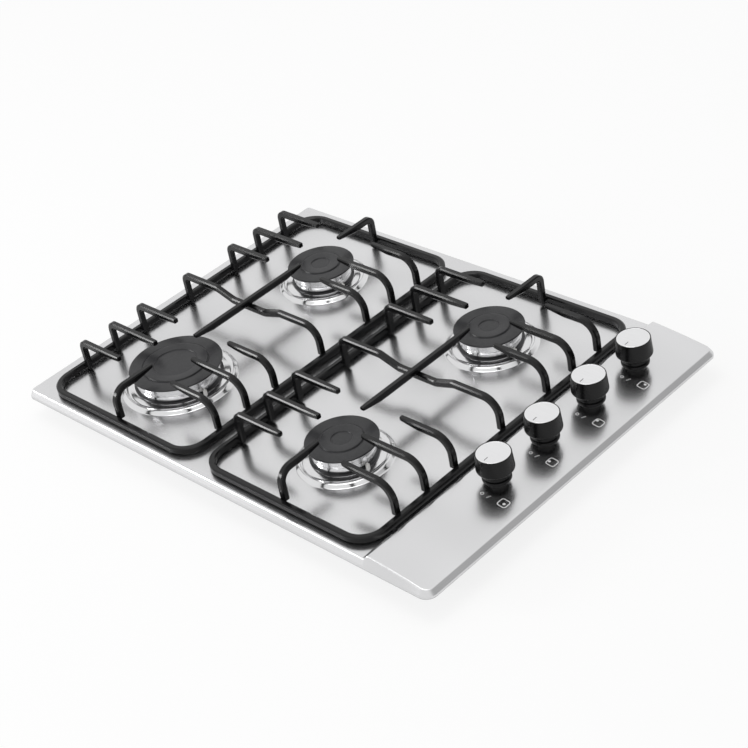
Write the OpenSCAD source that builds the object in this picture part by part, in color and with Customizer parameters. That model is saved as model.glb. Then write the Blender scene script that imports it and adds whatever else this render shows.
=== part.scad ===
// Built-in four-burner gas cooktop with side controls, in millimetres, +Z up.
// The origin lies under the middle of the top plate, on the surface that the bottom tray stands on.
// The lip of the top plate rests on the worktop, one tray depth above the origin.

/* [Top plate] */
// Width of the pressed top plate, left to right
plate_w = 595; // [590:1:620]
// Depth of the top plate, front to back
plate_d = 440; // [436:1:470]
// Thickness of the pressed steel sheet
sheet = 1.2; // [0.8:0.1:1.5]
// Height of the burner deck above the worktop
deck_h = 10; // [8:0.5:12]
// Height of the upright lip at the plate's edge
lip_h = 2.4; // [1.5:0.1:4]
// How far the deck's crest lies inside the lip
rim_run = 3.9; // [3:0.1:5]
// Corner radius at the left end of the plate
left_corner_r = 7; // [6:0.5:12]
// Corner radius at the control end of the plate
right_corner_r = 12; // [11:0.5:16]

/* [Control panel] */
// Width of the raised control panel
panel_w = 84; // [80:1:90]
// Height of the panel's crest above the burner deck
panel_rise = 5.9; // [4.5:0.1:7]
// Run of the step that climbs from the deck to the crest
panel_step = 8.3; // [7:0.1:10]
// Height that the panel loses from its crest to its break line
panel_fall = 4.6; // [3:0.1:5]
// Distance from the crest to the break line
panel_run = 47; // [40:1:50]
// Height that the panel loses from its break line to its right edge
panel_drop = 3.6; // [2:0.1:4]
// Rounding of the panel's upper edges
panel_edge_r = 4; // [3:0.1:5]

/* [Burners] */
// Distance of a burner's axis from the end bar of its pan support
burner_end = 91; // [84:0.5:98]
// Radius of the large burner's cap
rapid_cap_r = 51; // [46:0.5:54]
// Radius of the other burners' caps
semi_cap_r = 37.7; // [34:0.1:42]
// Thickness of a burner cap at its rim
cap_t = 3.2; // [2.6:0.1:4]
// Width of the flat brim of a cap
cap_brim = 15.4; // [13:0.1:17]
// Width of the raised band inside the brim
cap_band = 12; // [9:0.1:14]
// Height of the cap's top above the deck
cap_top = 24.1; // [22:0.1:27]
// How far the cap hangs over the crown
cap_overhang = 4.6; // [4:0.1:6]
// Wall of the crown
crown_wall = 5; // [4:0.1:6]
// Spacing of the flame ports round a crown
port_pitch = 5.8; // [5:0.1:8]
// Width of a flame port
port_w = 1.6; // [1.2:0.1:2]
// Depth of a flame port
port_h = 2.4; // [1.5:0.1:3.5]
// Width of the window in the crown over its electrode
window_w = 5; // [4:0.1:6]
// Height of that window
window_h = 9.8; // [8:0.1:10]
// Height of the dark seat ring that the crown stands on, above the plate that it lies on
seat_h = 2.3; // [2:0.1:3]
// How far the seat ring's flange stands out past the crown
seat_out = 2.4; // [2:0.1:3]
// Thickness of the seat ring's flange
seat_flange = 1.4; // [1:0.1:1.7]
// Depth of the burner cup below the deck
cup_depth = 24; // [20:0.5:26]
// How far the cup's side lies inside the crown's side
cup_step = 7; // [6.5:0.1:8]
// Wall of the burner cup
cup_wall = 2.5; // [2:0.1:3]
// Reach of the pressed ring round a burner past its cap
ridge_reach = 12.7; // [11:0.1:14]
// Width of the ring's outer slope
ridge_w = 5; // [4:0.1:6]
// Height of the ring's crest above the deck
ridge_h = 3.4; // [2.5:0.1:4]
// Height of the plate above the deck where the seat ring lies on it
bowl_h = 4.2; // [3.5:0.1:4.8]

/* [Pan supports] */
// Square section of the support's frame bar
bar = 7; // [6:0.1:7.6]
// Square section of the fingers
rod = 6; // [5:0.1:7]
// Broken edge of bars and fingers
rod_edge = 1.1; // [0.6:0.1:1.5]
// Distance of the left support from the plate's left edge
side_margin = 23.5; // [20:0.5:28]
// Gap between the two supports
support_gap = 16; // [12:0.5:24]
// Gap between the right support and the foot of the control panel
panel_margin = 1.5; // [1:0.1:6]
// Distance of the supports from the plate's front edge
front_margin = 10.7; // [9:0.1:16]
// Distance of the supports from the plate's back edge
back_margin = 18.3; // [12:0.1:22]
// How far the supports lie behind the burners' middle
support_shift = 1.2; // [0:0.1:3]
// Corner radius of the support's frame, at the bar's centre
frame_r = 26; // [20:1:34]
// Height of the fingers' tops above the deck
support_h = 40.2; // [38:0.1:50]
// Thickness of the rubber pads under the frame
pad_t = 1; // [0.6:0.1:2]
// Radius of a rubber pad
pad_r = 3; // [2:0.1:3.4]
// Offset of the outer finger rows from the burner's middle
finger_row = 41; // [36:1:46]
// Distance of the outer rows' tips from the burner's axis
tip_outer = 44; // [38:1:50]
// Distance of the middle tips from the burner's axis
tip_inner = 31; // [26:1:34]
// Thickness of a finger at its tip
tip_t = 3.6; // [3:0.1:4.5]
// Length of the tapered end of a finger
taper_l = 26; // [15:1:30]
// Centre radius of the tight bends, at the left and the back
bend_tight = 8; // [7:0.5:10]
// Centre radius of the wide bends, at the right
bend_wide = 19; // [14:1:22]
// Centre radius of the front finger's bend
bend_front = 15; // [12:1:20]
// Depth of the dip in which the cross bar passes under the long bar
dip = 7.6; // [6.6:0.1:9]
// Half length of the dip's floor
dip_in = 27; // [22:1:32]
// Half length of the whole dip
dip_out = 52; // [48:1:58]
// Centre radius of the dip's four kinks
kink_r = 12; // [8:1:16]

/* [Knobs] */
// Distance of the knobs' axes from the plate's right edge
knob_inset = 46; // [44:0.5:50]
// Distance of the rear knob from the plate's back edge
knob_back = 74.4; // [70:0.1:80]
// Spacing of the knobs
knob_pitch = 71.4; // [66:0.1:72]
// Height of a knob's top above the panel at its axis
knob_h = 36; // [34:0.1:40]
// Widest radius of the head
head_r = 18.8; // [18:0.1:21]
// Radius at the top of the head
head_top_r = 17.6; // [17.4:0.1:17.9]
// Height of the head above its widest ring
head_h = 17; // [14:0.1:18]
// Height of the rounded underside of the head
under_h = 5.4; // [4:0.1:6.4]
// Radius of the neck
neck_r = 14.6; // [13.5:0.1:15.5]
// Radius of the foot
foot_r = 13.4; // [12.5:0.1:14]
// Height of the foot's taper
foot_h = 1.6; // [1:0.1:2.4]
// Width of a groove in the neck
groove_w = 1.1; // [0.8:0.1:1.3]
// Depth of a groove in the neck
groove_d = 1; // [0.6:0.1:1.4]
// Radius of the metal disc in the knob's top
disc_r = 16.9; // [15.5:0.1:17]
// Thickness of the metal disc
disc_t = 1.4; // [1:0.1:2.5]
// Travel of a knob when it is pushed
push = 3.2; // [2:0.1:3.6]
// Radius of the valve spindle
spindle_r = 3; // [2.5:0.1:3.4]
// How far the spindle reaches into the knob's boss
spindle_in = 14; // [8:0.5:17]

/* [Bottom tray] */
// Depth of the tray below the worktop
tray_h = 26; // [25:0.5:28]
// How far the tray's upper edge lies inside the plate's edge
tray_inset = 20; // [18:0.5:22]
// How far the tray's sides draw in towards its floor
tray_draft = 11; // [9:0.5:12]
// Thickness of the tray's sheet
tray_t = 1; // [0.8:0.1:1.2]
// Width of the tray's flange
flange_w = 8; // [6:0.5:10]
// Corner radius of the tray
tray_r = 14; // [10:1:20]
// Distance of the clamp screw holes from the ends of the tray's floor
clamp_in_x = 46.5; // [40:0.5:52]
// Distance of the clamp screw holes from its front and back
clamp_in_y = 14; // [10:0.5:18]
// Radius of a clamp screw hole
clamp_r = 1.75; // [1.5:0.05:2.2]
// Width of the foam strip under the rim
gasket_w = 8; // [5:0.5:10]
// Thickness of the foam strip
gasket_t = 2; // [1:0.1:2.4]

/* [Gas parts] */
// Radius of the gas rail
rail_r = 6.5; // [5.5:0.1:7]
// Height of the rail's axis above the tray's underside
rail_z = 12; // [11.7:0.1:13]
// Width of a valve body across the rail
valve_w = 18; // [16:0.5:20]
// Length of a valve body along the rail
valve_l = 24; // [20:0.5:30]
// Gap between a valve and the panel at the knob's axis
valve_gap = 2.3; // [2:0.1:3]
// Radius of the turning plug in a valve
plug_r = 6; // [5:0.1:6.5]
// Height of the turning plug
plug_h = 11; // [9:0.5:12]
// Radius of a gas tube
tube_r = 3; // [2.5:0.1:3.5]
// Height of the gas tubes' axes above the tray's underside
tube_z = 20; // [18.5:0.1:21]
// Radius of the bosses that the tubes screw into
boss_r = 5; // [4.2:0.1:5.5]
// Length of the bosses
boss_l = 7; // [5:0.5:9]
// Radius of the inlet's pipe thread
inlet_r = 10.4; // [10:0.1:10.6]
// Length of the inlet's pipe thread
inlet_l = 12; // [10:0.5:12]
// Radius of the cable's way through its gland
gland_r = 3.6; // [3:0.1:4]
// Radius of an injector
injector_r = 3.5; // [3:0.1:4]
// Length of an injector
injector_l = 12; // [10:0.5:14]
// Radius of a spark electrode's ceramic
ceramic_r = 2.2; // [1.8:0.1:2.5]

/* [Hidden] */
$fn = 48;

// Overrun of every cut past the face that it opens
over = 1;
// Gap of a turning or sliding fit
fit = 0.05;
// Gap round a piece that drops in loosely
loose = 0.3;
// Facets of the rounded corners that the pressed sheets are drawn from
corner_fn = 32;

// Levels and places
lip_z = tray_h;
deck_z = lip_z + deck_h;
edge_x = plate_w / 2;
edge_y = plate_d / 2;
ramp_x = edge_x - panel_w;
crest_x = ramp_x + panel_step;
crest_z = deck_z + panel_rise;
break_x = crest_x + panel_run;
break_z = crest_z - panel_fall;
panel_slope = atan(panel_fall / panel_run);
knob_x = edge_x - knob_inset;
panel_z = crest_z - (knob_x - crest_x) * tan(panel_slope);
// Radius of the upright posts that the pressed forms are drawn round
post_r = 2;
panel_overlap = 6;

// Pan supports fill the deck beside the panel, and the burners stand under their middles
support_w = (plate_w - panel_w - side_margin - support_gap - panel_margin) / 2 - bar;
support_d = plate_d - front_margin - back_margin - bar;
support_y = front_margin + (bar + support_d) / 2 - edge_y;

// Burners in the order front left, rear left, front right, rear right
burner_pitch_x = support_w + bar + support_gap;
burner_pitch_y = support_d - 2 * burner_end;
left_x = side_margin + (bar + support_w) / 2 - edge_x;
front_y = support_y - support_shift - burner_pitch_y / 2;
BURNERS = [[left_x, front_y, rapid_cap_r], [left_x, front_y + burner_pitch_y, semi_cap_r],
  [left_x + burner_pitch_x, front_y, semi_cap_r],
  [left_x + burner_pitch_x, front_y + burner_pitch_y, semi_cap_r]];
function crown_r(cap) = cap - cap_overhang;
function cup_r(cap) = crown_r(cap) - cup_step;
function seat_r(cap) = crown_r(cap) + seat_out;
crown_top = cap_top - cap_t;
seat_z = bowl_h + seat_h;
cup_floor = 3;
cup_z = deck_z - cup_depth;
skirt_w = 4;
skirt_h = 4;
seat_lip = 0.6;
injector_shank_r = injector_r - 1;
function port_count(r) = round(2 * PI * r / port_pitch);
window_d = 3;
// Key slot in a crown's wall, seen from the front
slot_angle = -74;
slot_w = 0.8;
slot_h = 5.6;
slot_d = 1;
// Ring profile: places out from its crest as shares of its slope's width, heights as shares of its own
ridge_shares = [[1, 0], [0.3, 0.85], [0, 1], [-0.3, 0.85], [-0.5, 0.76], [-0.8, 0.78]];
// Spark electrode: place beside the crown, bracket under the plate, and tip
spark_angle = -7;
spark_gap = 1.2;
spark_lug = 1.8;
bracket_t = 2;
bracket_z = -sheet - bracket_t - loose;
spark_below = 10;
spark_top = 8.6;
spark_tip_r = 0.8;
spark_tip_l = 2.3;
function spark_at(cap) = crown_r(cap) + ceramic_r + spark_gap;
// Cap profile: number of the ring that a point stands by (rim, band, sunk middle), its place from there
// as a share of the cap's edge, and its depth below the top as a share of the cap's thickness
cap_shares = [[0, 0, 0.46], [0, -1, 0.36], [1, 0.5, 0.3], [1, 0, 0.05], [1, -1.5, 0], [2, 0.8, 0.12],
  [2, -0.8, 0.36]];
cap_ring_h = 2.5;
cap_ring_w = 2;
cap_edge = 0.8;

// Pan supports
frame_z = deck_z + pad_t + bar / 2;
finger_z = deck_z + support_h - rod / 2;
leg_in = (bar + rod) / 2;
leg_x = support_w / 2 - leg_in;
long_drop = 0.6;
weld_w = 4.5;
bend_step = 9;
pad_back = 10;

// Knobs and valves
function knob_y(k) = edge_y - knob_back - k * knob_pitch;
foot_gap = 0.3;
foot_z = panel_z + foot_r * tan(panel_slope) + push + foot_gap;
knob_top_z = panel_z + knob_h;
wide_z = knob_top_z - head_h;
neck_top_z = wide_z - under_h;
rim_t = 0.4;
recess_r = 9;
recess_h = 5.4;
recess_top = foot_z + recess_h;
spindle_top = recess_top + spindle_in;
collar_gap = 0.8;
collar_r = recess_r - collar_gap;
collar_top = recess_top - push - collar_gap;
valve_top = panel_z - valve_gap;
plug_inset = 0.6;
plug_top = valve_top - plug_inset;
plug_floor = 1;
spindle_foot = plug_top - plug_h + plug_floor + push + foot_gap;

// Tray, rail and pipes
tray_top = deck_z - sheet - tray_t;
tray_low_x = edge_x - tray_inset - tray_draft;
tray_low_y = edge_y - tray_inset - tray_draft;
flange_end = 7;
clamp_x = tray_low_x - clamp_in_x;
clamp_y = tray_low_y - clamp_in_y;
rail_reach = 6;
rail_end = valve_l / 2 + rail_reach;
rail_foot_w = 5;
rail_front = knob_y(3) - rail_end;
rail_back = knob_y(0) + rail_end;
wall_y = edge_y - tray_inset - tray_draft * (1 - rail_z / tray_top);
thread_t = 0.8;
inlet_stem_r = inlet_r - thread_t;
inlet_clear = 6.5;
nut_gap = 1;
nut_l = 9;
gland_inset = 100;
gland_x = knob_x - gland_inset;
gland_wall = 1.8;
gland_in = 6;
gland_out = 8;
gland_flange = 2.6;
// Burner that each tube feeds, and how much of its spare length lies before its jog
TUBE_BURNER = [3, 1, 0, 2];
tube_shares = [0.33, 0.73, 0.81, 0.37];
tube_bend_r = 12;
tube_nut = 6;
// Angle of a jog: a usual one, steeper where the way is short, and softer where the jog is small
jog_angle = 50;
jog_share = 0.75;
soft_share = 0.8;
function jog(side, run) = min(soft_share * acos(max(-1, 1 - side / (2 * tube_bend_r))),
  max(jog_angle, atan(side / (jog_share * run))));
// Ignition unit: size, place and high-tension terminals
unit_l = 64;
unit_w = 36;
unit_h = 18;
unit_inset = 100;
unit_x = ramp_x - unit_inset;
unit_y = (knob_y(1) + knob_y(2)) / 2;
terminal_r = 2.6;
terminal_l = 7;

// Pressed forms, drawn g inside their outer face
module post(x, y, r, z0, z1) {
  translate([x, y, z0]) cylinder(h = z1 - z0, r = r, $fn = corner_fn);
}

module burner_form(g) {
  low = g > 0 ? lip_z - over : lip_z;
  end_x = ramp_x + panel_overlap;
  cy = edge_y - left_corner_r;
  hull() {
    for (s = [-1, 1]) {
      post(left_corner_r - edge_x, s * cy, left_corner_r - g, low, lip_z + lip_h);
      post(left_corner_r - edge_x, s * cy, left_corner_r - rim_run - g, lip_z + lip_h, deck_z - g);
      post(end_x, s * (edge_y - post_r), post_r - g, low, lip_z + lip_h);
      post(end_x, s * (edge_y - rim_run - post_r), post_r - g, lip_z + lip_h, deck_z - g);
    }
  }
}

module panel_form(g) {
  low = g > 0 ? lip_z - over : lip_z;
  cy = edge_y - right_corner_r;
  r = panel_edge_r - g;
  side = edge_y - rim_run - panel_edge_r;
  turn = right_corner_r - rim_run / 2 - panel_edge_r;
  hull() {
    for (s = [-1, 1]) {
      post(ramp_x + post_r, s * (edge_y - post_r), post_r - g, low, lip_z + lip_h);
      post(ramp_x + post_r, s * (edge_y - rim_run - post_r), post_r - g, lip_z, deck_z - g);
      post(edge_x - right_corner_r, s * cy, right_corner_r - g, low, lip_z + lip_h);
      translate([crest_x, s * side, crest_z - panel_edge_r]) sphere(r, $fn = corner_fn);
      translate([break_x, s * side, break_z - panel_edge_r]) sphere(r, $fn = corner_fn);
      translate([edge_x - right_corner_r, s * cy, break_z - panel_drop - panel_edge_r])
        rotate_extrude($fn = corner_fn) translate([turn, 0]) circle(r, $fn = corner_fn);
    }
  }
}

// Section of the pressed ring round a burner: an outer slope, a crest with a fine groove inside it, and
// a rise to the seat of the burner
module ridge_section(cap) {
  crest = cap + ridge_reach - ridge_w;
  polygon(concat([for (p = ridge_shares) [crest + p[0] * ridge_w, p[1] * ridge_h]],
    [[seat_r(cap) + seat_lip, bowl_h], [cup_r(cap), bowl_h], [cup_r(cap), -sheet], [crest + ridge_w, -sheet]]));
}

module top_plate() {
  color([0.82, 0.82, 0.83]) difference() {
    union() {
      difference() {
        union() { burner_form(0); panel_form(0); }
        union() { burner_form(sheet); panel_form(sheet); }
      }
      for (b = BURNERS) translate([b[0], b[1], deck_z]) rotate_extrude() ridge_section(b[2]);
    }
    for (b = BURNERS) {
      translate([b[0], b[1], deck_z - sheet]) rotate_extrude() ridge_section(b[2]);
      translate([b[0], b[1], deck_z - sheet - over])
        cylinder(h = sheet + bowl_h + 2 * over, r = cup_r(b[2]) + loose);
      translate([b[0], b[1], deck_z - sheet - over]) rotate(spark_angle)
        translate([spark_at(b[2]), 0, 0]) cylinder(h = sheet + bowl_h + 2 * over, r = ceramic_r + loose);
    }
    for (k = [0 : 3]) translate([knob_x, knob_y(k), panel_z - panel_rise])
      cylinder(h = 2 * panel_rise, r = spindle_r + 2 * loose);
  }
}

// Plate outline, drawn in by g
module outline(g) {
  hull() for (s = [-1, 1]) {
    translate([left_corner_r - edge_x, s * (edge_y - left_corner_r)])
      circle(left_corner_r - g, $fn = corner_fn);
    translate([edge_x - right_corner_r, s * (edge_y - right_corner_r)])
      circle(right_corner_r - g, $fn = corner_fn);
  }
}

module rim_gasket() {
  inner = sheet + gasket_w;
  color([0.2, 0.2, 0.2]) translate([0, 0, lip_z]) linear_extrude(gasket_t) difference() {
    outline(sheet + fit);
    square([plate_w - 2 * inner, plate_d - 2 * inner], center = true);
  }
}

// Drafted pan, drawn g inside its outer face
module pan(g, z0, z1) {
  hull() for (sx = [-1, 1], sy = [-1, 1]) {
    post(sx * (tray_low_x - tray_r), sy * (tray_low_y - tray_r), tray_r - g, z0, z0 + tray_t / 2);
    post(sx * (tray_low_x + tray_draft - tray_r), sy * (tray_low_y + tray_draft - tray_r),
      tray_r - g, z1 - tray_t / 2, z1);
  }
}

module bottom_tray() {
  low = edge_x - tray_inset;
  color([0.62, 0.63, 0.65]) difference() {
    union() {
      difference() {
        pan(0, 0, tray_top);
        pan(tray_t, tray_t, tray_top + tray_t);
      }
      translate([0, 0, tray_top]) linear_extrude(tray_t) difference() {
        translate([-low - flange_w, tray_inset - flange_w - edge_y])
          square([low + flange_w + ramp_x - flange_end, plate_d - 2 * tray_inset + 2 * flange_w]);
        translate([-low + tray_t, tray_inset + tray_t - edge_y])
          square([plate_w, plate_d - 2 * tray_inset - 2 * tray_t]);
      }
    }
    for (sx = [-1, 1], sy = [-1, 1]) translate([sx * clamp_x, sy * clamp_y, -over])
      cylinder(h = tray_t + 2 * over, r = clamp_r);
    translate([knob_x, wall_y + inlet_l, rail_z]) rotate([90, 0, 0])
      cylinder(h = 2 * inlet_l, r = inlet_stem_r + loose);
    translate([gland_x, wall_y + inlet_l, rail_z]) rotate([90, 0, 0])
      cylinder(h = 2 * inlet_l, r = gland_r + gland_wall + fit);
  }
}

// Square rod with broken edges, and the pieces that it is bent from, each followed by its children
function rod_outline(side) = let (h = side / 2, k = h - rod_edge)
  [[h, k], [k, h], [-k, h], [-h, k], [-h, -k], [-k, -h], [k, -h], [h, -k]];

module rod_section(side) { polygon(rod_outline(side)); }

module straight(side, l) {
  rotate([0, 90, 0]) linear_extrude(l) rod_section(side);
  translate([l, 0, 0]) children();
}

module bend_up(side, r, a) {
  translate([0, 0, r]) rotate([90, 0, 0]) rotate(-90) rotate_extrude(angle = a)
    translate([r, 0]) rod_section(side);
  translate([r * sin(a), 0, r - r * cos(a)]) rotate([0, -a, 0]) children();
}

module bend_down(side, r, a) {
  mirror([0, 0, 1]) bend_up(side, r, a) mirror([0, 0, 1]) children();
}

// Underside cut that thins a rod towards a tip at the origin, the rod lying along -X
module tip_cut() {
  rotate([90, 0, 0]) translate([0, 0, -rod]) linear_extrude(2 * rod)
    polygon([[-taper_l, -rod / 2], [0, rod / 2 - tip_t], [over, rod / 2 - tip_t],
      [over, -rod], [-taper_l, -rod]]);
}

// A finger: up from the frame at the origin, over its bend, and out to its reach
module finger(reach, r) {
  difference() {
    translate([0, 0, frame_z]) rotate([0, -90, 0])
      straight(rod, finger_z - frame_z - r) bend_down(rod, r, 90) straight(rod, reach - r);
    translate([reach, 0, finger_z]) tip_cut();
  }
}

module at_support(i) {
  translate([BURNERS[2 * i][0], 0, 0]) children();
}

module support_frame(i) {
  run_x = support_w - 2 * frame_r;
  run_y = support_d - 2 * frame_r;
  color([0.12, 0.12, 0.12]) at_support(i) translate([0, support_y, frame_z]) {
    for (s = [-1, 1]) {
      translate([-run_x / 2, s * support_d / 2, 0]) straight(bar, run_x);
      translate([s * support_w / 2, -run_y / 2, 0]) rotate(90) straight(bar, run_y);
    }
    for (a = [0 : 90 : 270]) rotate(a) {
      turned = a % 180 == 90;
      translate([(turned ? run_y : run_x) / 2, (turned ? run_x : run_y) / 2, 0])
        rotate_extrude(angle = 90) translate([frame_r, 0]) rod_section(bar);
    }
  }
}

module support_fingers(i) {
  color([0.12, 0.12, 0.12]) at_support(i) {
    for (j = [0, 1], row = [-1, 0, 1]) {
      tip = row == 0 ? tip_inner : tip_outer;
      translate([0, BURNERS[j][1] + support_shift + row * finger_row, 0]) {
        translate([-leg_x, 0, 0]) finger(leg_x - tip, bend_tight);
        translate([leg_x, 0, 0]) rotate(180) finger(leg_x - tip, bend_wide);
      }
    }
    end = support_d / 2 - leg_in;
    reach = end - burner_pitch_y / 2 - tip_inner;
    translate([0, support_y - end, 0]) rotate(90) finger(reach, bend_front);
    translate([0, support_y + end, 0]) rotate(-90) finger(reach, bend_tight);
  }
}

module long_bar() {
  half = burner_pitch_y / 2 - tip_inner;
  difference() {
    translate([0, -half, 0]) rotate(90) straight(rod, 2 * half);
    for (s = [-90, 90]) rotate(s) translate([half, 0, 0]) tip_cut();
  }
}

// Places [x, z, heading] along a rod that is bent in one plane. Each leg is a length, and the radius
// and angle of the bend that follows it
function bent(legs, at, i = 0) = i == len(legs) ? [at] :
  let (l = legs[i][0], r = legs[i][1] * sign(legs[i][2]), a = legs[i][2],
    p = at + [l * cos(at[2]), l * sin(at[2]), 0], n = max(1, ceil(abs(a) / bend_step)),
    arc = [for (j = [1 : n]) let (b = p[2] + a * j / n)
      [p[0] + r * (sin(b) - sin(p[2])), p[1] + r * (cos(p[2]) - cos(b)), b]])
  concat([at, p], [for (j = [0 : 1 : n - 2]) arc[j]], bent(legs, arc[n - 1], i + 1));

// Rod whose section is carried along those places
module bent_rod(side, places) {
  section = rod_outline(side);
  m = len(section);
  n = len(places);
  polyhedron([for (p = places, q = section) [p[0] - q[0] * sin(p[2]), q[1], p[1] + q[0] * cos(p[2])]],
    concat([[for (j = [m - 1 : -1 : 0]) j]], [[for (j = [0 : m - 1]) (n - 1) * m + j]],
      [for (i = [0 : n - 2], j = [0 : m - 1]) let (a = i * m, b = a + m, k = (j + 1) % m)
        each [[a + j, b + k, b + j], [a + j, a + k, b + k]]]));
}

// Cross bar: a leg at each side, and a dip in the middle that passes under the long bar
module cross_bar() {
  kink = atan(dip / (dip_out - dip_in));
  slant = (dip - 2 * kink_r * (1 - cos(kink))) / sin(kink);
  floor_l = 2 * dip_out - 4 * kink_r * sin(kink) - 2 * slant * cos(kink);
  rise = finger_z - frame_z;
  bent_rod(rod, bent([[rise - bend_tight, bend_tight, -90], [leg_x - bend_tight - dip_out, kink_r, -kink],
    [slant, kink_r, kink], [floor_l, kink_r, kink], [slant, kink_r, -kink],
    [leg_x - bend_wide - dip_out, bend_wide, -90], [rise - bend_wide, 0, 0]], [-leg_x, frame_z, 90]));
}

module support_spine(i) {
  color([0.12, 0.12, 0.12]) at_support(i) translate([0, support_y, 0]) {
    cross_bar();
    translate([0, 0, finger_z - long_drop]) long_bar();
    translate([-weld_w / 2, -weld_w / 2, finger_z - dip]) cube([weld_w, weld_w, dip - long_drop]);
  }
}

module support_pads(i) {
  color([0.15, 0.15, 0.15]) at_support(i)
    for (sx = [-1, 1], sy = [-1, 1])
      translate([sx * support_w / 2, support_y + sy * (support_d / 2 - frame_r - pad_back), deck_z])
        cylinder(h = pad_t, r = pad_r);
}

module burner_cap(b) {
  r = BURNERS[b][2];
  rings = [r, r - cap_brim, r - cap_brim - cap_band];
  ring = crown_r(r) - crown_wall - loose;
  color([0.3, 0.3, 0.3]) translate([BURNERS[b][0], BURNERS[b][1], deck_z]) rotate_extrude()
    polygon(concat([for (p = cap_shares) [rings[p[0]] + p[1] * cap_edge, cap_top - p[2] * cap_t]],
      [[0, cap_top - cap_shares[6][2] * cap_t], [0, crown_top + cap_edge],
      [ring - cap_ring_w, crown_top + cap_edge], [ring - cap_ring_w, crown_top - cap_ring_h], [ring, crown_top - cap_ring_h],
      [ring, crown_top], [r - cap_edge, crown_top], [r, crown_top + cap_edge]]));
}

module burner_crown(b) {
  r = crown_r(BURNERS[b][2]);
  skirt = cup_r(BURNERS[b][2]) - cup_wall - loose;
  color([0.8, 0.8, 0.8]) translate([BURNERS[b][0], BURNERS[b][1], deck_z]) difference() {
    rotate_extrude() polygon([[skirt - skirt_w, seat_z - skirt_h], [skirt, seat_z - skirt_h],
      [skirt, seat_z], [r, seat_z], [r, crown_top], [r - crown_wall, crown_top],
      [r - crown_wall, seat_z + cup_floor], [skirt - skirt_w, seat_z + cup_floor]]);
    for (i = [0 : port_count(r) - 1]) rotate(i * 360 / port_count(r))
      translate([r - crown_wall - over, -port_w / 2, crown_top - port_h])
        cube([crown_wall + 2 * over, port_w, port_h + over]);
    rotate(spark_angle) translate([r - window_d, -window_w / 2, crown_top - window_h])
      cube([window_d + over, window_w, window_h + over]);
    rotate(slot_angle) translate([r - slot_d, -slot_w / 2, seat_z - over])
      cube([slot_d + over, slot_w, slot_h + over]);
  }
}

module burner_cup(b) {
  cap = BURNERS[b][2];
  r = cup_r(cap);
  color([0.16, 0.16, 0.16]) translate([BURNERS[b][0], BURNERS[b][1], deck_z]) difference() {
    union() {
      rotate_extrude() polygon([[0, -cup_depth], [r, -cup_depth], [r, bowl_h], [seat_r(cap), bowl_h],
        [seat_r(cap), bowl_h + seat_flange], [crown_r(cap) + seat_lip, seat_z], [r - cup_wall, seat_z],
        [r - cup_wall, cup_floor - cup_depth], [0, cup_floor - cup_depth]]);
      rotate(spark_angle) translate([r - cup_wall / 2, -ceramic_r - spark_lug, bracket_z])
        cube([spark_at(cap) + ceramic_r + spark_lug + cup_wall / 2 - r, 2 * ceramic_r + 2 * spark_lug,
          bracket_t]);
      translate([r - cup_wall, 0, tube_z - deck_z]) rotate([0, 90, 0])
        cylinder(h = cup_wall + boss_l, r = boss_r);
    }
    rotate(spark_angle) translate([spark_at(cap), 0, bracket_z - over])
      cylinder(h = seat_z - bracket_z + 2 * over, r = ceramic_r + fit);
    translate([0, 0, -cup_depth - over])
      cylinder(h = cup_floor + 2 * over, r = injector_shank_r + fit);
  }
}

// Brass injectors, each a hexagon head over a screwed shank in its cup's floor
module injectors() {
  color([0.75, 0.6, 0.25]) for (b = BURNERS) translate([b[0], b[1], cup_z]) {
    cylinder(h = cup_floor, r = injector_shank_r);
    translate([0, 0, cup_floor]) cylinder(h = injector_l / 2, r = injector_r, $fn = 6);
    translate([0, 0, cup_floor + injector_l / 2])
      cylinder(h = injector_l / 2, r1 = injector_shank_r, r2 = injector_r / 3);
  }
}

module spark_electrode(b) {
  translate([BURNERS[b][0], BURNERS[b][1], deck_z]) rotate(spark_angle)
    translate([spark_at(BURNERS[b][2]), 0, 0]) color([0.92, 0.92, 0.9]) {
      translate([0, 0, -spark_below]) cylinder(h = spark_top + spark_below, r = ceramic_r);
      translate([0, 0, spark_top]) cylinder(h = spark_tip_l, r = spark_tip_r);
    }
}

// Revolved knob: tapered foot, grooved neck, rounded underside, tall head with a recess for its disc
module knob(k) {
  g = neck_top_z - foot_z - foot_h;
  groove_z = [for (i = [0, 1]) foot_z + foot_h + g * (i + 1) / 3 - groove_w / 2];
  deep = neck_r - groove_d;
  color([0.1, 0.1, 0.1]) translate([knob_x, knob_y(k), 0]) rotate_extrude()
    polygon(concat(
      [[recess_r, foot_z], [foot_r, foot_z], [neck_r, foot_z + foot_h]],
      [for (z = groove_z, p = [[neck_r, 0], [deep, groove_w / 4], [deep, groove_w * 3 / 4], [neck_r, groove_w]])
        [p[0], z + p[1]]],
      [[neck_r, neck_top_z]],
      [for (a = [15 : 15 : 75]) [neck_r + (head_r - neck_r) * sin(a), neck_top_z + under_h * (1 - cos(a))]],
      [[head_r, wide_z], [head_top_r, knob_top_z - rim_t], [head_top_r - rim_t, knob_top_z],
      [disc_r + fit, knob_top_z], [disc_r + fit, knob_top_z - disc_t], [0, knob_top_z - disc_t],
      [0, spindle_top], [spindle_r + fit / 2, spindle_top], [spindle_r + fit / 2, recess_top],
      [recess_r, recess_top]]));
}

module knob_disc(k) {
  color([0.85, 0.85, 0.85]) translate([knob_x, knob_y(k), knob_top_z - disc_t])
    cylinder(h = disc_t, r = disc_r);
}

module valve_spindle(k) {
  color([0.8, 0.68, 0.35]) translate([knob_x, knob_y(k), spindle_foot])
    cylinder(h = spindle_top - spindle_foot, r = spindle_r);
}

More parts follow.
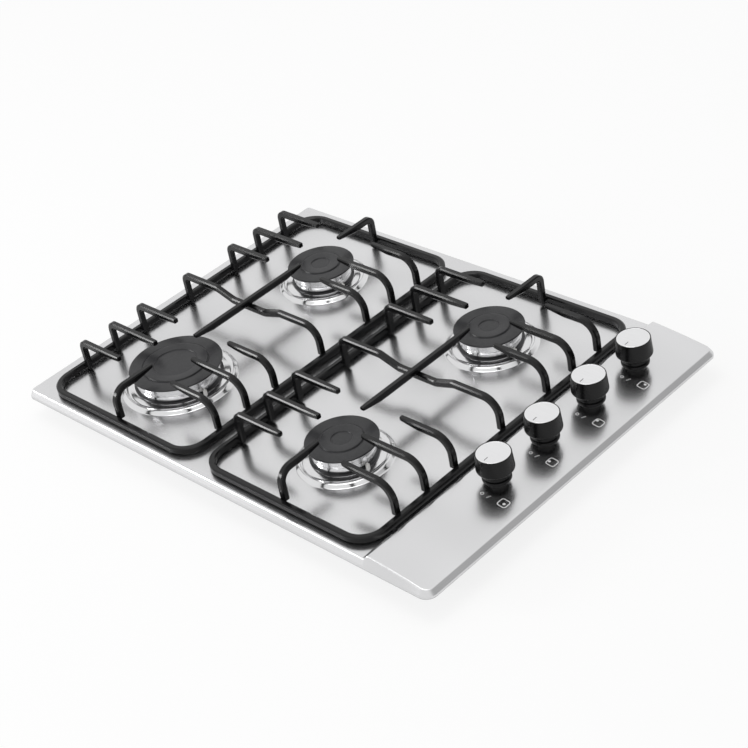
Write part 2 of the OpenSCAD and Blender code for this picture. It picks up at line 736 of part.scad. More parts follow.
// Plug that turns in the valve body; the spindle slides in it
module valve_plug(k) {
  color([0.78, 0.64, 0.3]) translate([knob_x, knob_y(k), plug_top - plug_h]) difference() {
    cylinder(h = plug_h, r = plug_r);
    translate([0, 0, plug_floor]) cylinder(h = plug_h, r = spindle_r + fit);
  }
}

module valve_body(k) {
  color([0.7, 0.7, 0.72]) translate([knob_x, knob_y(k), 0]) difference() {
    union() {
      translate([-valve_w / 2, -valve_l / 2, rail_z]) cube([valve_w, valve_l, valve_top - rail_z]);
      translate([-valve_w / 2 - boss_l, 0, tube_z]) rotate([0, 90, 0])
        cylinder(h = boss_l + over, r = boss_r);
    }
    translate([0, valve_l, rail_z]) rotate([90, 0, 0]) cylinder(h = 2 * valve_l, r = rail_r + fit);
    translate([0, 0, plug_top - plug_h - fit]) cylinder(h = plug_h + 2 * over, r = plug_r + fit);
  }
}

// Round tube: a straight run and a bend to its left, each followed by its children
module tube(l) {
  rotate([0, 90, 0]) cylinder(h = l, r = tube_r);
  translate([l, 0, 0]) children();
}

module tube_bend(a) {
  translate([0, tube_bend_r, 0]) rotate(-90) rotate_extrude(angle = a)
    translate([tube_bend_r, 0]) circle(tube_r);
  translate([tube_bend_r * sin(a), tube_bend_r - tube_bend_r * cos(a), 0]) rotate(a) children();
}

// Tube from a valve to its burner, with one jog on its way and a nut at each end
module gas_tube(k) {
  b = BURNERS[TUBE_BURNER[k]];
  x0 = knob_x - valve_w / 2 - boss_l;
  run = x0 - b[0] - cup_r(b[2]) - boss_l;
  side = knob_y(k) - b[1];
  a = jog(abs(side), run);
  slant = (abs(side) - 2 * tube_bend_r * (1 - cos(a))) / sin(a);
  spare = run - 2 * tube_bend_r * sin(a) - slant * cos(a);
  color([0.75, 0.75, 0.77]) translate([x0, knob_y(k), tube_z]) rotate(180)
    mirror([0, side < 0 ? 1 : 0, 0]) {
      tube(spare * tube_shares[k]) tube_bend(a) tube(slant) mirror([0, 1, 0]) tube_bend(a)
        tube(spare * (1 - tube_shares[k]));
      for (p = [[0, 0], [run - tube_nut, abs(side)]]) translate(p) rotate([0, 90, 0])
        cylinder(h = tube_nut, r = boss_r, $fn = 6);
    }
}

// Rail that feeds the valves, on two feet that stand on the tray's floor
module gas_rail() {
  color([0.7, 0.7, 0.72]) union() {
    translate([knob_x, rail_back, rail_z]) rotate([90, 0, 0])
      cylinder(h = rail_back - rail_front, r = rail_r);
    for (k = [0, 2]) translate([knob_x - rail_foot_w / 2, knob_y(k + 0.5) - rail_foot_w / 2, tray_t])
      cube([rail_foot_w, rail_foot_w, rail_z - tray_t]);
  }
}

// Inlet: a stem through the tray's back wall, a hexagon inside it and a pipe thread outside
module gas_inlet() {
  stem = wall_y + inlet_clear - rail_back;
  color([0.78, 0.64, 0.3]) translate([knob_x, rail_back, rail_z]) rotate([-90, 0, 0]) {
    cylinder(h = stem, r = inlet_stem_r);
    translate([0, 0, stem]) cylinder(h = inlet_l, r = inlet_r);
    translate([0, 0, nut_gap]) rotate(30) cylinder(h = nut_l, r = inlet_r, $fn = 6);
  }
}

module cable_gland() {
  color([0.1, 0.1, 0.1]) translate([gland_x, wall_y, rail_z]) rotate([-90, 0, 0]) difference() {
    union() {
      translate([0, 0, -gland_in]) cylinder(h = gland_in + gland_out, r = gland_r + gland_wall);
      translate([0, 0, gland_out - gland_flange])
        cylinder(h = gland_flange, r = gland_r + 2 * gland_wall);
    }
    translate([0, 0, -gland_in - over]) cylinder(h = gland_in + gland_out + 2 * over, r = gland_r);
  }
}

module ignition_unit() {
  color([0.85, 0.85, 0.82]) translate([unit_x, unit_y, tray_t]) {
    translate([-unit_l / 2, -unit_w / 2, 0]) cube([unit_l, unit_w, unit_h]);
    for (i = [0 : 3]) translate([unit_l * (i - 1.5) / 5, unit_w / 2, unit_h / 2])
      rotate([-90, 0, 0]) cylinder(h = terminal_l, r = terminal_r);
  }
}

// Rubber collars that seal the spindles' holes and stand inside the knobs' feet
module knob_collars() {
  color([0.08, 0.08, 0.08]) difference() {
    for (k = [0 : 3]) translate([knob_x, knob_y(k), panel_z - panel_rise]) difference() {
      cylinder(h = collar_top - panel_z + panel_rise, r = collar_r);
      translate([0, 0, -over]) cylinder(h = knob_h, r = spindle_r + loose);
    }
    panel_form(0);
  }
}

top_plate();
bottom_tray();
rim_gasket();
support_frame(0);  // support_frame_left
support_frame(1);  // support_frame_right
support_fingers(0);  // support_fingers_left
support_fingers(1);  // support_fingers_right
support_spine(0);  // support_spine_left
support_spine(1);  // support_spine_right
support_pads(0);  // support_pads_left
support_pads(1);  // support_pads_right
burner_cap(0);  // burner_cap_fl
burner_cap(1);  // burner_cap_rl
burner_cap(2);  // burner_cap_fr
burner_cap(3);  // burner_cap_rr
burner_crown(0);  // burner_crown_fl
burner_crown(1);  // burner_crown_rl
burner_crown(2);  // burner_crown_fr
burner_crown(3);  // burner_crown_rr
burner_cup(0);  // burner_cup_fl
burner_cup(1);  // burner_cup_rl
burner_cup(2);  // burner_cup_fr
burner_cup(3);  // burner_cup_rr
spark_electrode(0);  // spark_electrode_fl
spark_electrode(1);  // spark_electrode_rl
spark_electrode(2);  // spark_electrode_fr
spark_electrode(3);  // spark_electrode_rr
injectors();
knob(0);  // knob_1
knob(1);  // knob_2
knob(2);  // knob_3
knob(3);  // knob_4
knob_disc(0);  // knob_disc_1
knob_disc(1);  // knob_disc_2
knob_disc(2);  // knob_disc_3
knob_disc(3);  // knob_disc_4
valve_spindle(0);  // valve_spindle_1
valve_spindle(1);  // valve_spindle_2
valve_spindle(2);  // valve_spindle_3
valve_spindle(3);  // valve_spindle_4
valve_plug(0);  // valve_plug_1
valve_plug(1);  // valve_plug_2
valve_plug(2);  // valve_plug_3
valve_plug(3);  // valve_plug_4
valve_body(0);  // valve_body_1
valve_body(1);  // valve_body_2
valve_body(2);  // valve_body_3
valve_body(3);  // valve_body_4
gas_tube(0);  // gas_tube_1
gas_tube(1);  // gas_tube_2
gas_tube(2);  // gas_tube_3
gas_tube(3);  // gas_tube_4
gas_rail();
gas_inlet();
ignition_unit();
cable_gland();
knob_collars();
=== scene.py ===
import math

import bmesh
import bpy
import numpy as np
from mathutils import Matrix, Vector
from mathutils.geometry import tessellate_polygon


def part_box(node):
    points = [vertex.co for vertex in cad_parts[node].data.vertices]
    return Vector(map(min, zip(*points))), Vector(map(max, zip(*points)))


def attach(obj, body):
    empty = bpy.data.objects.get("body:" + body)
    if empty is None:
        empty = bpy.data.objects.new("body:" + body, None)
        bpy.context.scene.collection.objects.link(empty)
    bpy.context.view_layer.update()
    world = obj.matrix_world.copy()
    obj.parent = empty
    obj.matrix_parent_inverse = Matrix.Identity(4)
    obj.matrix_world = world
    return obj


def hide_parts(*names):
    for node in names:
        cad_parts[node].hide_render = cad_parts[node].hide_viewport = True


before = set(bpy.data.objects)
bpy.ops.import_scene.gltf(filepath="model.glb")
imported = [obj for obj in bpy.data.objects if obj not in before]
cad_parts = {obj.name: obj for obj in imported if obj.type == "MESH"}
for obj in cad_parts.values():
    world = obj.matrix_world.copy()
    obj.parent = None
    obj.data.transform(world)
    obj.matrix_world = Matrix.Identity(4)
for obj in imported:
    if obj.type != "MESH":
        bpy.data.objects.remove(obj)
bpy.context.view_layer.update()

# The view. The camera stands in front of the control corner and looks down on the plate through a
# long lens, with the frame rolled a little. It was fitted to the plate's corners, caps and knobs.
eye = (1.2150, -0.9991, 1.1034)
heading, tilt, roll = (math.radians(a) for a in (51.3, 34.34, -12.1))
back = np.array([math.sin(heading) * math.cos(tilt), -math.cos(heading) * math.cos(tilt),
                 math.sin(tilt)])
right = np.array([math.cos(heading), math.sin(heading), 0.0])
up = np.cross(back, right)
turned = [right * math.cos(roll) + up * math.sin(roll),
          up * math.cos(roll) - right * math.sin(roll), back]
camera = bpy.data.objects.new("camera", bpy.data.cameras.new("camera"))
camera.data.lens, camera.data.shift_x, camera.data.shift_y = 87.27, 0.0446, 0.0054
camera.matrix_world = Matrix([[*(axis[i] for axis in turned), eye[i]] for i in range(3)]
                             + [[0, 0, 0, 1]])
bpy.context.scene.collection.objects.link(camera)
bpy.context.scene.camera = camera


# The studio: a white floor and backdrop under soft lamps. The lens sees white all round, and metal too
# but for a grey stretch of wall on the right. The floor keeps a faint shadow under the plate, and is
# clear from below, so that the tray's underside can be looked at.
def linear(code):
    """Turns an sRGB hex colour into linear red, green, blue and alpha."""
    share = np.array([int(code[i:i + 2], 16) for i in (1, 3, 5)]) / 255
    return (*np.where(share <= 0.04045, share / 12.92, ((share + 0.055) / 1.055) ** 2.4).tolist(), 1.0)


def add(tree, kind, inputs=(), **settings):
    """Adds one node with its settings. inputs maps a socket to its value or to what feeds it."""
    node = tree.nodes.new(kind)
    for name, value in settings.items():
        setattr(node, name, value)
    for socket, value in dict(inputs).items():
        if isinstance(value, bpy.types.NodeSocket):
            tree.links.new(value, node.inputs[socket])
        else:
            node.inputs[socket].default_value = value
    return node


def seen_directly(tree):
    """1 for what the lens, a gloss or a clear piece sees, 0 for the light that falls on a surface."""
    path = add(tree, "ShaderNodeLightPath")
    glossy = add(tree, "ShaderNodeMath", {0: path.outputs["Is Camera Ray"],
                                          1: path.outputs["Is Glossy Ray"]}, operation="MAXIMUM")
    clear = path.outputs["Is Transmission Ray"]
    seen = add(tree, "ShaderNodeMath", {0: glossy.outputs[0], 1: clear}, operation="MAXIMUM")
    return seen.outputs[0]


world = bpy.data.worlds.new("studio")
world.use_nodes = True
bpy.context.scene.world = world
tree = world.node_tree
ambient = 0.62
# The wall: the direction of its middle, the products with it at which the grey starts and is full,
# and how bright the grey is.
wall_side, grey_from, grey_full, grey = (0.80, 0.50, 0.33), 0.66, 0.93, 0.52
towards = add(tree, "ShaderNodeTexCoord").outputs["Generated"]
wall = add(tree, "ShaderNodeVectorMath", {0: towards, 1: wall_side}, operation="DOT_PRODUCT")
dimmed = add(tree, "ShaderNodeMapRange", {
    "Value": wall.outputs["Value"], "From Min": grey_from, "From Max": grey_full,
    "To Min": 1.0, "To Max": grey}, interpolation_type="SMOOTHSTEP")
lens = add(tree, "ShaderNodeLightPath").outputs["Is Camera Ray"]
shade = add(tree, "ShaderNodeMath", {0: dimmed.outputs[0], 1: lens}, operation="MAXIMUM")
tree.links.new(shade.outputs[0], tree.nodes["Background"].inputs["Color"])
strength = add(tree, "ShaderNodeMapRange", {
    "Value": seen_directly(tree), "To Min": ambient, "To Max": 1.0})
tree.links.new(strength.outputs[0], tree.nodes["Background"].inputs["Strength"])

floor_mesh = bpy.data.meshes.new("studio_floor")
floor_half, floor_grey, floor_glow = 4.0, 0.20, 0.82
floor_corners = [(sx * floor_half, sy * floor_half, 0)
                 for sx, sy in ((-1, -1), (1, -1), (1, 1), (-1, 1))]
floor_mesh.from_pydata(floor_corners, [], [(0, 1, 2, 3)])
floor = bpy.data.objects.new("studio_floor", floor_mesh)
bpy.context.scene.collection.objects.link(floor)
paper = bpy.data.materials.new("white_paper_floor")
paper.use_nodes = True
tree = paper.node_tree
matt = tree.nodes["Principled BSDF"]
matt.inputs["Base Color"].default_value = (floor_grey, floor_grey, floor_grey, 1)
matt.inputs["Roughness"].default_value = 1.0
matt.inputs["Specular IOR Level"].default_value = 0.0
level = add(tree, "ShaderNodeMath", {0: seen_directly(tree), 1: floor_glow}, operation="MULTIPLY")
glow = add(tree, "ShaderNodeEmission", {"Strength": level.outputs[0]})
both = add(tree, "ShaderNodeAddShader", {0: glow.outputs[0], 1: matt.outputs[0]})
below = add(tree, "ShaderNodeNewGeometry").outputs["Backfacing"]
clear = add(tree, "ShaderNodeBsdfTransparent").outputs[0]
one_sided = add(tree, "ShaderNodeMixShader", {0: below, 1: both.outputs[0], 2: clear})
tree.links.new(one_sided.outputs[0], tree.nodes["Material Output"].inputs["Surface"])
floor_mesh.materials.append(paper)

# Each lamp: place, side length and watts. The first hangs over the plate. The second stands at the
# front left, where the upper edges of the bars mirror it into the lens as thin lines, but the plate
# doesn't.
for place, side, watts in (((-0.2, -0.2, 2.5), 1.3, 10.0), ((-1.69, -1.82, 0.75), 0.6, 20.0)):
    lamp = bpy.data.objects.new("soft_lamp", bpy.data.lights.new("soft_lamp", "AREA"))
    lamp.data.size, lamp.data.energy = side, watts
    lamp.location = place
    lamp.rotation_euler = Vector(place).to_track_quat("Z", "Y").to_euler()
    bpy.context.scene.collection.objects.link(lamp)


# Top plate: one sheet of stainless steel, 1.2 mm thick, pressed into a low rim, four rings round the
# burners and a raised panel for the knobs, and brushed along its length before it was pressed.
MM = 0.001
plate_low, plate_high = (np.array(c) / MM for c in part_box("top_plate"))
lip_z = plate_low[2]
half_w, half_d = plate_high[0], plate_high[1]
sheet, deck_h, lip_h, rim_run = 1.2, 10.0, 2.4, 3.9
deck_z = lip_z + deck_h
left_corner, right_corner = 7.0, 12.0
panel_w, ramp_run, crest_rise = 84.0, 8.3, 5.9
gentle_run, gentle_fall, steep_fall, end_inset = 47.0, 4.6, 3.6, 6.0
ramp_x = half_w - panel_w
crest_x = ramp_x + ramp_run
break_x, end_x = crest_x + gentle_run, half_w - end_inset
CORNERS = ("fl", "rl", "fr", "rr")
caps = {c: [np.array(b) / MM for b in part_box("burner_cap_" + c)] for c in CORNERS}
burners = {c: (*((lo + hi) / 2)[:2], (hi[0] - lo[0]) / 2, hi[2]) for c, (lo, hi) in caps.items()}


def smooth_lowest(heights, rounding):
    """The lowest of several heights, with the corners rounded over a length k:
    low - k ln(sum of exp((low - height) / k))."""
    low = heights.min(0)
    return low - rounding * np.log(np.exp((low - heights) / rounding).sum(0))


def panel_height(x):
    """Height of the pressed form over the lip, along x: the deck, an S-shaped step up to the crest, a
    gentle fall to the break line and a steeper one to the right edge, with the corners rounded off."""
    step = np.clip((x - ramp_x) / ramp_run, 0, 1)
    crest_h, far_up = deck_h + crest_rise, 99.0
    rise = deck_h + crest_rise * step ** 2 * (3 - 2 * step)
    fall = crest_h - gentle_fall * (x - crest_x) / (break_x - crest_x)
    steep = crest_h - gentle_fall - steep_fall * (x - break_x) / (end_x - break_x)
    fall, steep = np.where(x > ramp_x + 1, fall, far_up), np.where(x > crest_x + 9, steep, far_up)
    return smooth_lowest(np.stack([rise, fall, steep]), 0.45)


def edge_distance(x, y):
    """How far a point lies inside the plate's outline, a rectangle with two corner radii."""
    radius = np.where(x > 0, right_corner, left_corner)
    px, py = np.abs(x) - half_w + radius, np.abs(y) - half_d + radius
    outside = np.hypot(np.maximum(px, 0), np.maximum(py, 0))
    return radius - outside - np.minimum(np.maximum(px, py), 0)


def plate_height(x, y):
    """Height over the lip: the smooth lower of the rim's slope and the pressed form inside it."""
    top = panel_height(x)
    slope = lip_h + (top - lip_h) * np.maximum(edge_distance(x, y), 0) / rim_run
    return smooth_lowest(np.stack([top, slope]), 0.55)


def grid_faces(rows, cols, close_rows=False, close_cols=False):
    """Quads of a grid of points that are numbered row by row, closed round either way."""
    quad_rows, quad_cols = np.arange(rows - (not close_rows)), np.arange(cols - (not close_cols))
    i, j = np.meshgrid(quad_rows, quad_cols, indexing="ij")
    a, b = i.ravel(), j.ravel()
    a1, b1 = (a + 1) % rows, (b + 1) % cols
    return np.stack([a * cols + b, a1 * cols + b, a1 * cols + b1, a * cols + b1], 1)


def add_piece(name, parts, material, body, replaces=(), weld=True):
    """Joins (points in mm, faces) parts into one mesh, welds the seams, and hands it to its body."""
    mesh = bpy.data.meshes.new(name)
    points, faces, start = [], [], 0
    for part_points, part_faces in parts:
        points.append(np.asarray(part_points, float).reshape(-1, 3))
        faces += [[int(v) + start for v in face] for face in part_faces]
        start += len(points[-1])
    mesh.from_pydata((np.concatenate(points) * MM).tolist(), [], faces)
    if weld:
        work = bmesh.new()
        work.from_mesh(mesh)
        bmesh.ops.remove_doubles(work, verts=work.verts, dist=2e-6)
        bmesh.ops.recalc_face_normals(work, faces=work.faces)
        work.to_mesh(mesh)
        work.free()
    mesh.polygons.foreach_set("use_smooth", np.ones(len(mesh.polygons), bool))
    mesh.materials.append(material)
    piece = bpy.data.objects.new(name, mesh)
    bpy.context.scene.collection.objects.link(piece)
    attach(piece, body)
    if replaces:
        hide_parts(*replaces)
    return piece


def new_finish(name, colour, metallic, roughness, **sockets):
    """A material with one principled surface; returns it with its node tree and that surface node."""
    material = bpy.data.materials.new(name)
    material.use_nodes = True
    surface = material.node_tree.nodes["Principled BSDF"]
    surface.inputs["Base Color"].default_value = linear(colour)
    surface.inputs["Metallic"].default_value = metallic
    surface.inputs["Roughness"].default_value = roughness
    for socket, value in sockets.items():
        surface.inputs[socket.replace("_", " ")].default_value = value
    return material, material.node_tree, surface


def grain(tree, width, finer=(1, 1, 1), detail=2.0):
    """A noise pattern over the object: its grains are width mm wide over finer, axis by axis."""
    place = add(tree, "ShaderNodeTexCoord").outputs["Object"]
    mapped = add(tree, "ShaderNodeMapping", {"Vector": place, "Scale": finer}).outputs[0]
    return add(tree, "ShaderNodeTexNoise", {
        "Vector": mapped, "Scale": 1 / (width * MM), "Detail": detail}).outputs[0]


def vary(tree, surface, pattern, tint=None, rough=None, raised=None):
    """Lets the middle of a pattern's range run the colour between two hex colours and the roughness
    between two values, and the whole pattern raise the surface by (height in mm, strength)."""
    low, high = 0.3, 0.7
    if tint:
        ramp = add(tree, "ShaderNodeValToRGB", {"Fac": pattern})
        for stop, position, colour in zip(ramp.color_ramp.elements, (low, high), tint):
            stop.position, stop.color = position, linear(colour)
        tree.links.new(ramp.outputs[0], surface.inputs["Base Color"])
    if rough:
        spread = add(tree, "ShaderNodeMapRange", {"Value": pattern, "From Min": low, "From Max": high,
                                                  "To Min": rough[0], "To Max": rough[1]})
        tree.links.new(spread.outputs[0], surface.inputs["Roughness"])
    if raised:
        bump = add(tree, "ShaderNodeBump", {"Height": pattern, "Distance": raised[0] * MM,
                                            "Strength": raised[1]})
        tree.links.new(bump.outputs[0], surface.inputs["Normal"])


# Stainless steel, brushed along the plate's length, which draws reflections out across the brushing.
# The scratches are a few hundredths of a millimetre wide; they are drawn 0.17 mm wide and faint, so
# that they just show, over a slow change of grey.
steel, tree, surface = new_finish("brushed_stainless_steel", "#dadadb", 1.0, 0.24, Anisotropic=0.4)
vary(tree, surface, grain(tree, 143.0, (1, 2, 1), 1), tint=("#d2d2d3", "#dadadb"))
vary(tree, surface, grain(tree, 3.33, (1, 20, 20)), rough=(0.21, 0.27), raised=(0.002, 0.5))
# Where the rings are pressed, the sheet is stretched and rubbed by the tool, which leaves it brighter.
pressed_steel, tree, surface = new_finish("tool_rubbed_stainless_steel", "#dadadb", 1.0, 0.15)
vary(tree, surface, grain(tree, 3.33, (1, 20, 20)), rough=(0.12, 0.18))

# Lines along x and y that the patches of the plate share, closer where its form bends. The rim's patch
# is a band of one width inside the outline.
band = 12.0
ramp_lines = np.arange(ramp_x - 1.0, crest_x + 8.01, 0.75)
x_left, x_right = band - half_w, half_w - band
deck_x = np.linspace(x_left, ramp_lines[0], 24)
panel_x = np.concatenate([ramp_lines, np.linspace(ramp_lines[-1], x_right, 28)[1:]])
lines_x = np.concatenate([deck_x[:-1], panel_x])
lines_y = np.linspace(band - half_d, half_d - band, 60)

# The rim: the outline and the inner rectangle, joined by lines along which the height is worked out.
turns = np.linspace(0, math.pi / 2, 13)[1:-1]


def corner_arc(sx, sy, from_angle):
    """Outline points of one corner, from its first side to its second, without their ends."""
    radius = right_corner if sx > 0 else left_corner
    cx, cy = sx * (half_w - radius), sy * (half_d - radius)
    a = from_angle + turns
    return np.stack([cx + radius * np.cos(a), cy + radius * np.sin(a)], 1)


def side_points(inner_along, low_end, high_end):
    """Spreads a side's inner lines over the outline's straight length."""
    first, last = inner_along[0], inner_along[-1]
    share, end_share = (inner_along - first) / (last - first), 0.04
    from_low = np.clip(share / end_share, 0, 1)
    from_high = np.clip((1.0 - share) / end_share, 0, 1)
    return inner_along + (low_end - first) * (1 - from_low) + (high_end - last) * (1 - from_high)


outer, inner = [], []
front_out = side_points(lines_x, left_corner - half_w, half_w - right_corner)
right_out = side_points(lines_y, right_corner - half_d, half_d - right_corner)
left_out = side_points(lines_y, left_corner - half_d, half_d - left_corner)
# Each side: its inner and outer lines, the signs of x and y at its end, its corner's first angle, and
# whether it runs along x.
for along, out, sx, sy, angle, along_x in (
        (lines_x, front_out, 1, -1, -math.pi / 2, True), (lines_y, right_out, 1, 1, 0.0, False),
        (lines_x[::-1], front_out[::-1], -1, 1, math.pi / 2, True),
        (lines_y[::-1], left_out[::-1], -1, -1, math.pi, False)):
    if along_x:
        edge_y, inner_y = sy * half_d, sy * (half_d - band)
        outer.append(np.stack([out, np.full_like(out, edge_y)], 1))
        inner.append(np.stack([along, np.full_like(along, inner_y)], 1))
    else:
        outer.append(np.stack([np.full_like(out, sx * half_w), out], 1))
        inner.append(np.stack([np.full_like(along, sx * (half_w - band)), along], 1))
    arc = corner_arc(sx, sy, angle)
    outer.append(arc)
    inner.append(np.repeat(inner[-1][-1:], len(arc), 0))
outer, inner = np.concatenate(outer), np.concatenate(inner)
# Shares of the way in. The first three rows stand over the outline and make the upright lip.
inward = np.array([0, 0, 0, 0.02, 0.06, 0.11, 0.16, 0.21, 0.26, 0.30, 0.34, 0.38, 0.43, 0.5, 0.6,
                   0.75, 1.0])
xy = outer[None] + (inner - outer)[None] * inward[:, None, None]
height = plate_height(xy[..., 0], xy[..., 1])
height[0], height[1] = 0.0, 1.0
height[2] = np.minimum(height[2], lip_h - 0.3)
rim = (np.dstack([xy, lip_z + height]), grid_faces(len(inward), len(outer), close_cols=True))

# The raised panel, as heights over a grid.
gx, gy = np.meshgrid(panel_x, lines_y, indexing="ij")
panel = (np.dstack([gx, gy, lip_z + plate_height(gx, gy)]), grid_faces(len(panel_x), len(lines_y)))

# The pressed rings, each turned round its burner: a flat seat at the hole, a fall to a fine groove, a
# crest and an outer slope. Places are from the cap's edge, heights from the deck.
def soften(outline, radius, steps=4):
    """Rounds each inner corner of an open outline [(r, z), ...] with a short curve of that radius."""
    p = np.asarray(outline, float)
    before, corner, after = p[:-2], p[1:-1], p[2:]
    d0, d1 = before - corner, after - corner
    l0, l1 = (np.linalg.norm(d, axis=1, keepdims=True) for d in (d0, d1))
    cut = np.minimum(radius, 0.45 * np.minimum(l0, l1))
    a, b = corner + d0 / l0 * cut, corner + d1 / l1 * cut
    t = np.linspace(0, 1, steps + 1)[None, :, None]
    curve = (1 - t) ** 2 * a[:, None] + 2 * t * (1 - t) * corner[:, None] + t ** 2 * b[:, None]
    return np.concatenate([p[:1], curve.reshape(-1, 2), p[-1:]])


def revolve(outline, x, y, steps=96):
    """Turns an outline (r, z) round the upright axis through x, y: points (r cos a, r sin a, z)."""
    a = np.linspace(0, 2 * math.pi, steps, endpoint=False)
    r, z = np.asarray(outline).T
    heights = np.repeat(z[:, None], steps, 1)
    points = np.dstack([x + np.outer(r, np.cos(a)), y + np.outer(r, np.sin(a)), heights])
    return points, grid_faces(len(outline), steps, close_cols=True)


ring_outline = np.array([(-11.3, 4.2), (-1.6, 4.2), (3.7, 2.65), (5.2, 2.55), (6.2, 2.9), (7.7, 3.45),
                         (9.2, 2.95), (12.7, 0.0), (14.4, 0.0)])
ring_outline = soften(ring_outline, 1.1, 5)
rings = [revolve(ring_outline + (cap_r, deck_z), x, y, 144) for x, y, cap_r, _ in burners.values()]

# The flat deck between them, one face with four holes that is cut into triangles.
flat_edge = np.concatenate([np.stack([deck_x, np.full_like(deck_x, lines_y[0])], 1),
                            np.stack([np.full_like(lines_y, deck_x[-1]), lines_y], 1)[1:],
                            np.stack([deck_x[::-1], np.full_like(deck_x, lines_y[-1])], 1)[1:],
                            np.stack([np.full_like(lines_y, x_left), lines_y[::-1]], 1)[1:-1]])
loops = [[Vector((*p, deck_z)) for p in flat_edge]]
loops += [[Vector(p) for p in ring[0][-1]] for ring in rings]
flat_points = np.array([p for loop in loops for p in loop])
flat_points[:len(flat_edge), 2] = lip_z + plate_height(flat_edge[:, 0], flat_edge[:, 1])
deck = (flat_points, tessellate_polygon(loops))
plate = add_piece("pressed_plate", [rim, panel, deck, *rings], steel, "base", ["top_plate"])


def refinish(piece, material, test):
    """Gives the faces whose centres, in mm, pass the test a second material."""
    piece.data.materials.append(material)
    centres = np.zeros(len(piece.data.polygons) * 3)
    piece.data.polygons.foreach_get("center", centres)
    chosen = test(*(centres.reshape(-1, 3) / MM).T)
    piece.data.polygons.foreach_set("material_index", chosen.astype(np.int32))


pressed_w = 13.0
refinish(plate, pressed_steel, lambda px, py, pz: np.any(
    [np.hypot(px - x, py - y) < cap_r + pressed_w for x, y, cap_r, _ in burners.values()], axis=0))
# The sheet's thickness, and a map of x and y in metres for the steel's brushing.
wall = plate.modifiers.new("sheet", "SOLIDIFY")
wall.thickness, wall.offset, wall.use_even_offset = sheet * MM, -1.0, True
uv = plate.data.uv_layers.new(name="brushing")
corner_of = np.zeros(len(plate.data.loops), np.int32)
plate.data.loops.foreach_get("vertex_index", corner_of)
where = np.zeros(len(plate.data.vertices) * 3)
plate.data.vertices.foreach_get("co", where)
uv.data.foreach_set("uv", where.reshape(-1, 3)[corner_of, :2].ravel().astype(np.float32))


# Bottom tray: a drafted pan of galvanised sheet steel, spot-welded under the deck. The zinc dries in
# flat crystals, each a slightly different grey.
def dress(node, material):
    """Gives a CAD node that stays in view its finish."""
    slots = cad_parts[node].data.materials
    slots.clear()
    slots.append(material)


zinc, tree, surface = new_finish("galvanised_sheet_steel", "#a9abac", 1.0, 0.42)
place = add(tree, "ShaderNodeTexCoord").outputs["Object"]
crystal_w = 12.5
crystals = add(tree, "ShaderNodeTexVoronoi", {"Vector": place, "Scale": 1 / (crystal_w * MM)})
vary(tree, surface, crystals.outputs["Color"], tint=("#9b9d9f", "#b9bbbc"), rough=(0.34, 0.5))
dress("bottom_tray", zinc)

# Foam strip: closed-cell foam stuck inside the lip; it seals the rim to the worktop. Its cut cells
# leave it dull and finely pitted.
foam, tree, surface = new_finish("closed_cell_foam", "#2b2b2b", 0.0, 0.95)
vary(tree, surface, grain(tree, 0.667), raised=(0.3, 1.0))
dress("rim_gasket", foam)

# Burner cups: die-cast alloy with a dark heat-resistant coating, half bright, whose speckle is drawn
# about 1 mm wide to show. The rim of each shows on the plate as the dark seat ring of its crown.
cup_coat, tree, surface = new_finish("dark_coated_casting", "#3c3c3e", 0.9, 0.3)
vary(tree, surface, grain(tree, 1.11, detail=3), tint=("#38383a", "#484849"), raised=(0.01, 1.0))
# Injectors: turned brass, bright in fine rings, screwed into the cups' floors from above.
brass, tree, surface = new_finish("turned_brass", "#c8a358", 1.0, 0.26)
vary(tree, surface, grain(tree, 2.5, (1, 1, 6)), rough=(0.2, 0.36))
for corner in CORNERS:
    dress("burner_cup_" + corner, cup_coat)
dress("injectors", brass)


# Burner crowns: turned aluminium rings that spread the flame, loose on their cups, with a row of ports
# in the upper edge, a window over the spark electrode and a key slot. Turning leaves the wall bright,
# with fine marks round it that are drawn 0.6 mm wide to show.
aluminium, tree, surface = new_finish("turned_aluminium", "#f0f0f1", 1.0, 0.14)
vary(tree, surface, grain(tree, 8.33, (1, 1, 14)), rough=(0.10, 0.24), raised=(0.02, 0.4))
port_pitch, port_w, port_h, crown_wall = 5.8, 1.6, 2.4, 5.0
seat_w, seat_gap, skirt_h, skirt_wall, crown_floor, top_edge = 7.0, 2.8, 4.0, 4.0, 3.0, 0.5
# The angle, width, depth and height of the window and of the key slot.
WINDOW, SLOT = (math.radians(-7), 5.0, 3.0, 9.8), (math.radians(-74), 0.9, 2.5, 5.6)


def near_angle(angles, middle, half):
    """1 where an angle lies within half of the middle, and 0 elsewhere."""
    return (np.abs((angles - middle + math.pi) % (2 * math.pi) - math.pi) < half).astype(float)


